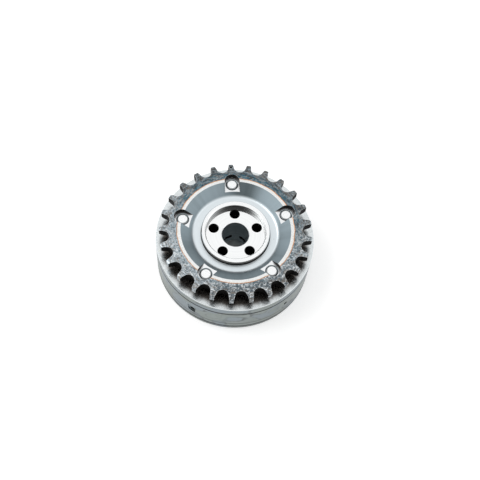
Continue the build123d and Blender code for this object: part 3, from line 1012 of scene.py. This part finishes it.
def threadHoles():
    p = plate
    floor = p["top"] - p["notchDepth"]
    radius = screw["radius"] + 0.05
    low = shell["statorTop"] - 1
    mouth = radius + p["threadMouth"]
    outline = [(0, low), (radius, low), (radius, floor - p["threadMouth"]), (mouth, floor)]
    outline += [(mouth, floor + 0.5), (0, floor + 0.5)]
    hole = turnProfile("threadHole", outline, steps=64, closed=False)
    placeMesh(hole, move=spot(screw["circle"], 0))
    # painted shade, partly, in the thread holes
    hole.data.materials.append(steel["dullShaded"])
    return ringOf(hole, screwAngles)


def makeSprocketPlate():
    p = plate
    piece = turnProfile("sprocketPlate", plateProfile())
    piece.data.materials.append(steel["sinter"])
    floor = p["top"] - p["dishDepth"]

    def inDish(centre, normal):
        return centre.xy.length < p["bandRadius"] and centre.z > floor - 0.1 and normal.z > 0.3

    def onNeck(centre, normal):
        inside = centre.xy.length < p["neckRadius"] + p["neckFillet"]
        return inside and centre.z > shell["flangeTop"] and normal.z < 0.9

    def onRim(centre, normal):
        return centre.xy.length > shell["radius"] - 0.1 and abs(normal.z) < 0.3

    # The neck under the teeth gets the near-black steel: painted shade
    paintFaces(piece, steel["gap"], onNeck)
    paintFaces(piece, steel["dish"], inDish)
    paintFaces(piece, steel["wall"], onRim)
    combine(piece, toothGaps())
    combine(piece, screwNotches())
    combine(piece, threadHoles())
    mark = rod("timingMark", p["markRadius"], p["top"] - p["markDepth"], p["top"] + 1, vertices=32)
    placeMesh(mark, move=spot(tipRadius - p["markInset"], 0))
    # painted shade in the timing mark
    mark.data.materials.append(steel["gap"])
    combine(piece, mark)
    foot = shell["statorTop"]
    seat = rod("bushSeat", lock["bushRadius"], foot - 1, foot + lock["bushDepth"])
    placeMesh(seat, move=spot(lock["circle"], lock["angle"]))
    seat.data.materials.append(steel["hidden"])
    combine(piece, seat)
    finishEdges(piece)
    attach(piece, "housing")
    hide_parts("sprocket_plate")
    print("sprocket plate", len(piece.data.polygons))


# Stator
def sealGrooves(name, radius, depth, angles):
    low = shell["coverTop"] - 1
    high = shell["statorTop"] + 1
    groove = block(name, stator["grooveWidth"], 2 * depth, high - low, (0, radius, (high + low) / 2))
    groove.data.materials.append(steel["hidden"])
    return ringOf(groove, angles)


def wallPocket():
    s = stator
    centre = (0, shell["radius"], 0)
    pocket = block("wallPocket", s["pocketFoot"], 2 * s["pocketDeep"], s["pocketTall"], centre)
    pushOut(pocket, 0, 0, s["pocketTop"] / s["pocketFoot"], axis=2)
    placeMesh(pocket, move=spot(0, 0, s["pocketHeight"]))
    pocket.data.materials.append(steel["wall"])
    paintFaces(pocket, steel["milled"], lambda centre, normal: abs(normal.x) > 0.7)
    return ringOf(pocket, [s["pocketAngle"]])


def makeStator():
    s = stator
    radius = shell["radius"]
    rim = shell["rimChamfer"]
    joint = shell["jointChamfer"]
    low = shell["coverTop"]
    high = shell["statorTop"]
    line = wall["lineHeight"]
    half = s["lineWidth"] / 2
    outline = [(lobe["chamberRadius"], low), (radius - rim, low), (radius, low + rim)]
    outline += [(radius, line - half), (radius - s["lineDeep"], line), (radius, line + half)]
    outline += [(radius, high - joint), (radius - joint, high), (lobe["chamberRadius"], high)]
    piece = turnProfile("statorRing", outline)
    piece.data.materials.append(steel["wall"])
    body = wedge("lobe", lobe["tipRadius"], radius - 2, low, high, lobe["halfAngle"])
    roundTips(body, lobe["tipRadius"], lobe["halfAngle"], s["tipFillet"])
    body.data.materials.append(steel["hidden"])
    combine(piece, ringOf(body, screwAngles), "UNION")
    hole = rod("screwHole", screw["holeRadius"], low - 1, high + 1)
    placeMesh(hole, move=spot(screw["circle"], 0))
    hole.data.materials.append(steel["hidden"])
    combine(piece, ringOf(hole, screwAngles))
    combine(piece, sealGrooves("lobeGroove", lobe["tipRadius"], s["grooveDepth"], screwAngles))
    combine(piece, wallPocket())
    pit = rod("pit", s["pitRadius"], -s["pitDeep"], s["pitDeep"], vertices=32)
    placeMesh(pit, turn=90, axis="X")
    placeMesh(pit, move=spot(radius, 0, s["pocketHeight"] - s["pitDrop"]))
    # painted shade in the pit
    pit.data.materials.append(steel["gap"])
    combine(piece, ringOf(pit, [s["pocketAngle"]]))
    centre = (0, radius, s["slotHeight"])
    slot = block("slot", s["slotWidth"], 2 * s["slotDeep"], s["slotTall"], centre)
    # painted shade in the slot
    slot.data.materials.append(steel["gap"])
    combine(piece, ringOf(slot, [s["slotAngle"]]))
    finishEdges(piece, width=0)
    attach(piece, "housing")
    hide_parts("stator")
    print("stator", len(piece.data.polygons))


# Front cover
def makeFrontCover():
    radius = shell["radius"]
    opening = shell["openingRadius"]
    rim = shell["rimChamfer"]
    foot = shell["coverChamfer"]
    top = shell["coverTop"]
    outline = [(opening, 0), (radius - foot, 0), (radius, foot)]
    outline += [(radius, top - rim), (radius - rim, top), (opening, top)]
    piece = turnProfile("frontCover", outline)
    piece.data.materials.append(steel["wall"])
    mouth = screw["headRadius"] + screw["land"] + screw["seatGap"]
    narrow = screw["holeRadius"]
    outline = [(0, -1), (mouth, -1), (mouth, 0), (narrow, mouth - narrow)]
    outline += [(narrow, top + 1), (0, top + 1)]
    sink = turnProfile("screwSink", outline, steps=72, closed=False)
    placeMesh(sink, move=spot(screw["circle"], 0))
    sink.data.materials.append(steel["milled"])
    combine(piece, ringOf(sink, screwAngles))
    finishEdges(piece)
    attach(piece, "housing")
    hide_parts("front_cover")
    print("front cover", len(piece.data.polygons))


# Rotor
rotor = {
    "low": 3.05,
    "high": 22.95,
    "hubRadius": 21.0,
    "collarRadius": 18.0,
    "collarTop": 31.5,
    "collarChamfer": 0.3,
    "recessRadius": 15.7,
    "recessFloor": 27.8,
    "mouthChamfer": 0.5,
    "boreRadius": 7.1,
    "boreChamfer": 0.3,
    "frontRadius": 16.6,
    "frontFloor": 7.05,
    "vaneRadius": 36.45,
    "vaneAngle": 46.1,
    "vaneHalfAngle": 11.0,
    "tipFillet": 1.5,
    "faceHoleRadius": 2.65,
    "faceHoleCircle": 12.0,
    "faceHoleAngle": 2.0,
    "faceHoleChamfer": 0.12,
    "drillRadius": 1.0,
    "drillMouth": 1.4,
    "mouthDepth": 1.7,
    "mouthEnd": 2.2,
    "drillHeight": 12.0,
    "drillInner": 9.0,
    "drillOuter": 14.3,
    "pinBore": 3.05,
}
vaneAngles = [angle + rotor["vaneAngle"] for angle in screwAngles]


def oilDrillings():
    r = rotor
    made = []
    for side in (-1, 1):
        start = spot(r["boreRadius"], side * r["drillInner"], r["drillHeight"])
        end = spot(r["hubRadius"], side * r["drillOuter"], r["drillHeight"])
        along = (end - start).normalized()
        start = start - along * 1.5 * mm
        end = end + along * 3 * mm
        length = (end - start).length / mm
        wide = r["drillMouth"]
        outline = [(0, 0), (wide, 0), (wide, r["mouthDepth"]), (r["drillRadius"], r["mouthEnd"])]
        outline += [(r["drillRadius"], length), (0, length)]
        hole = turnProfile("oilDrilling", outline, steps=32, closed=False)
        hole.data.transform(along.to_track_quat("Z", "Y").to_matrix().to_4x4())
        placeMesh(hole, move=start)
        # painted shade in the oil drillings
        hole.data.materials.append(steel["gap"])
        made.append(ringOf(hole, vaneAngles))
    return made


def makeRotor():
    r = rotor
    rim = r["collarChamfer"]
    mouth = r["mouthChamfer"]
    bore = r["boreChamfer"]
    outline = [(r["frontRadius"], r["low"]), (r["hubRadius"], r["low"]), (r["hubRadius"], r["high"])]
    outline += [(r["collarRadius"], r["high"]), (r["collarRadius"], r["collarTop"] - rim)]
    outline += [(r["collarRadius"] - rim, r["collarTop"]), (r["recessRadius"] + mouth, r["collarTop"])]
    outline += [(r["recessRadius"], r["collarTop"] - mouth), (r["recessRadius"], r["recessFloor"])]
    outline += [(r["boreRadius"] + bore, r["recessFloor"]), (r["boreRadius"], r["recessFloor"] - bore)]
    outline += [(r["boreRadius"], r["frontFloor"]), (r["frontRadius"], r["frontFloor"])]
    piece = turnProfile("rotorBody", outline)
    piece.data.materials.append(steel["bright"])
    chamfered = r["collarTop"] - rim

    def onCollar(centre, normal):
        outside = centre.xy.length > r["collarRadius"] - 0.05
        return outside and r["high"] < centre.z < chamfered and abs(normal.z) < 0.3

    def inBore(centre, normal):
        return centre.xy.length < r["boreRadius"] + 0.05

    def inRecess(centre, normal):
        inside = centre.xy.length < r["recessRadius"] + 0.05 and centre.z > r["recessFloor"]
        return inside and abs(normal.z) < 0.3

    def onFloor(centre, normal):
        return normal.z > 0.9 and abs(centre.z - r["recessFloor"]) < 0.05

    paintFaces(piece, steel["polished"], onFloor)
    # painted shade, partly, in the bore
    paintFaces(piece, steel["dullShaded"], inBore)
    paintFaces(piece, steel["ringed"], inRecess)
    paintFaces(piece, steel["collar"], onCollar)
    vane = wedge("vane", r["hubRadius"] - 1, r["vaneRadius"], r["low"], r["high"], r["vaneHalfAngle"])
    roundTips(vane, r["vaneRadius"], r["vaneHalfAngle"], r["tipFillet"])
    vane.data.materials.append(steel["hidden"])
    combine(piece, ringOf(vane, vaneAngles), "UNION")
    wide = r["faceHoleRadius"]
    edge = r["faceHoleChamfer"]
    under = r["frontFloor"] - 1
    over = r["recessFloor"] + edge
    outline = [(0, under), (wide, under), (wide, over - 2 * edge), (wide + 2 * edge, over), (0, over)]
    hole = turnProfile("faceHole", outline, steps=64, closed=False)
    placeMesh(hole, move=spot(r["faceHoleCircle"], 0))
    # painted shade in the face holes
    hole.data.materials.append(steel["gap"])
    combine(piece, ringOf(hole, [angle + r["faceHoleAngle"] for angle in screwAngles]))
    for holes in oilDrillings():
        combine(piece, holes)
    combine(piece, sealGrooves("vaneGroove", r["vaneRadius"], stator["grooveDepth"], vaneAngles))
    bore = rod("pinBore", r["pinBore"], r["low"] - 1, r["high"] + 1)
    placeMesh(bore, move=spot(lock["circle"], lock["angle"]))
    bore.data.materials.append(steel["hidden"])
    combine(piece, bore)
    finishEdges(piece, width=0)
    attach(piece, "rotor")
    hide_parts("rotor")
    print("rotor", len(piece.data.polygons))


# Assembly screws
def makeScrews():
    s = screw
    head = s["land"] + s["headRadius"] - s["radius"]
    outline = [(0, 0), (s["headRadius"], 0), (s["headRadius"], s["land"]), (s["radius"], head)]
    outline += [(s["radius"], s["end"] - s["endChamfer"])]
    outline += [(s["radius"] - s["endChamfer"], s["end"]), (0, s["end"])]
    first = turnProfile("screwBlank", outline, steps=72, closed=False)
    first.data.materials.append(steel["thread"])
    paintFaces(first, steel["bright"], lambda centre, normal: abs(normal.z) > 0.9)
    socket = rod("screwSocket", s["socketRadius"], -1, s["socketDepth"], vertices=72)
    # painted shade, partly, in the screw socket
    socket.data.materials.append(steel["dullShaded"])
    dip = rod("socketDip", s["socketDip"], -2, s["socketDepth"] + 1, vertices=24)
    placeMesh(dip, move=spot(s["socketRadius"], 0))
    dip.data.materials.append(steel["dullShaded"])
    points = [360 * number / s["socketPoints"] for number in range(s["socketPoints"])]
    combine(socket, ringOf(dip, points))
    combine(first, socket)
    finishEdges(first)
    placeMesh(first, move=spot(s["circle"], 0))
    for number, angle in enumerate(screwAngles):
        piece = copied(first, f"screwBody{number + 1}", angle)
        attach(piece, "housing")
        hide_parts(f"assembly_screw_{number + 1}")
    print("screws", len(first.data.polygons))
    bpy.data.objects.remove(first)


makeSprocketPlate()
makeStator()
makeFrontCover()
makeRotor()
makeScrews()


# Stage
camera = {
    "turn": -10.1,
    "elevation": 63.0,
    "roll": -6.6,
    "distance": 401.0,
    "lens": 57.8,
    "right": 2.1,
    "up": -5.4,
    "aim": 33.0,
}
stage = {
    "drop": 0.1,
    "floorGrey": 0.94,
    "floorGlow": 0.4,
    "fillLight": 0.55,
    "seenLight": 1.0,
}
lamps = {
    "keyLamp": {"power": 1.8, "size": 0.5, "angle": -75, "lift": 50, "distance": 700},
    "sideLamp": {"power": 1.0, "size": 0.6, "angle": 95, "lift": 40, "distance": 800},
}


def makeCamera():
    c = camera
    lift = math.radians(c["elevation"])
    turn = math.radians(c["turn"])
    level = math.cos(lift)
    forward = Vector((math.sin(-turn) * level, math.cos(turn) * level, -math.sin(lift)))
    side = Vector((math.cos(turn), math.sin(turn), 0))
    rise = side.cross(forward)
    roll = Matrix.Rotation(math.radians(c["roll"]), 3, forward)
    side = roll @ side
    rise = roll @ rise
    data = bpy.data.cameras.new("photoCamera")
    data.lens = c["lens"]
    data.sensor_width = 36
    data.clip_start = 0.01
    made = bpy.data.objects.new("photoCamera", data)
    bpy.context.scene.collection.objects.link(made)
    where = Vector((0, 0, c["aim"])) + side * c["right"] + rise * c["up"] - forward * c["distance"]
    turned = Matrix((side, rise, -forward)).transposed().to_4x4()
    made.matrix_world = Matrix.Translation(where * mm) @ turned
    bpy.context.scene.camera = made


# 1 for rays from the camera or off a shiny or clear surface
def seenRay(tree):
    path = addNode(tree, "ShaderNodeLightPath")
    shiny = calc(tree, "MAXIMUM", path.outputs["Is Glossy Ray"], path.outputs["Is Transmission Ray"])
    return calc(tree, "MAXIMUM", path.outputs["Is Camera Ray"], shiny)


def makeFloor():
    clearSelection()
    bpy.ops.mesh.primitive_plane_add(size=3, location=(0, 0, -stage["drop"] * mm))
    floor = bpy.context.object
    floor.name = "floor"
    material = bpy.data.materials.new("floorPaper")
    material.use_nodes = True
    shader = material.node_tree.nodes["Principled BSDF"]
    grey = stage["floorGrey"]
    shader.inputs["Base Color"].default_value = (grey, grey, grey, 1)
    shader.inputs["Roughness"].default_value = 0.9
    shader.inputs["Specular IOR Level"].default_value = 0.1
    shader.inputs["Emission Color"].default_value = (1, 1, 1, 1)
    tree = material.node_tree
    place = addNode(tree, "ShaderNodeTexCoord")
    radius, _, _ = polarOf(tree, place.outputs["Object"])
    # Painted shade: no glow where the bore looks down onto the floor, so the floor stays dark there
    open = ramp(tree, radius, shell["openingRadius"] - 1, shell["openingRadius"] + 1)
    glow = calc(tree, "MULTIPLY", calc(tree, "MULTIPLY", seenRay(tree), open), stage["floorGlow"])
    feed(tree, shader.inputs["Emission Strength"], glow)
    floor.data.materials.append(material)


def makeLamp(name, power, size, angle, lift, distance):
    data = bpy.data.lights.new(name, "AREA")
    data.energy = power
    data.size = size
    made = bpy.data.objects.new(name, data)
    bpy.context.scene.collection.objects.link(made)
    rise = math.radians(lift)
    where = spot(distance * math.cos(rise), angle, distance * math.sin(rise))
    made.location = where
    made.rotation_euler = (-where).to_track_quat("-Z", "Y").to_euler()


def makeWorld():
    world = bpy.data.worlds.new("studio")
    world.use_nodes = True
    tree = world.node_tree
    back = tree.nodes["Background"]
    extra = calc(tree, "MULTIPLY", seenRay(tree), stage["seenLight"] - stage["fillLight"])
    feed(tree, back.inputs["Strength"], calc(tree, "ADD", stage["fillLight"], extra))
    back.inputs["Color"].default_value = (1, 1, 1, 1)
    bpy.context.scene.world = world


makeCamera()
makeFloor()
makeWorld()
for name, values in lamps.items():
    makeLamp(name, **values)
bpy.context.scene.view_settings.view_transform = "Standard"
print("stage made")

for name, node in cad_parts.items():
    node.data.materials.clear()
    kind = "seal" if "seal" in name and "spring" not in name else "hidden"
    node.data.materials.append(steel[kind])
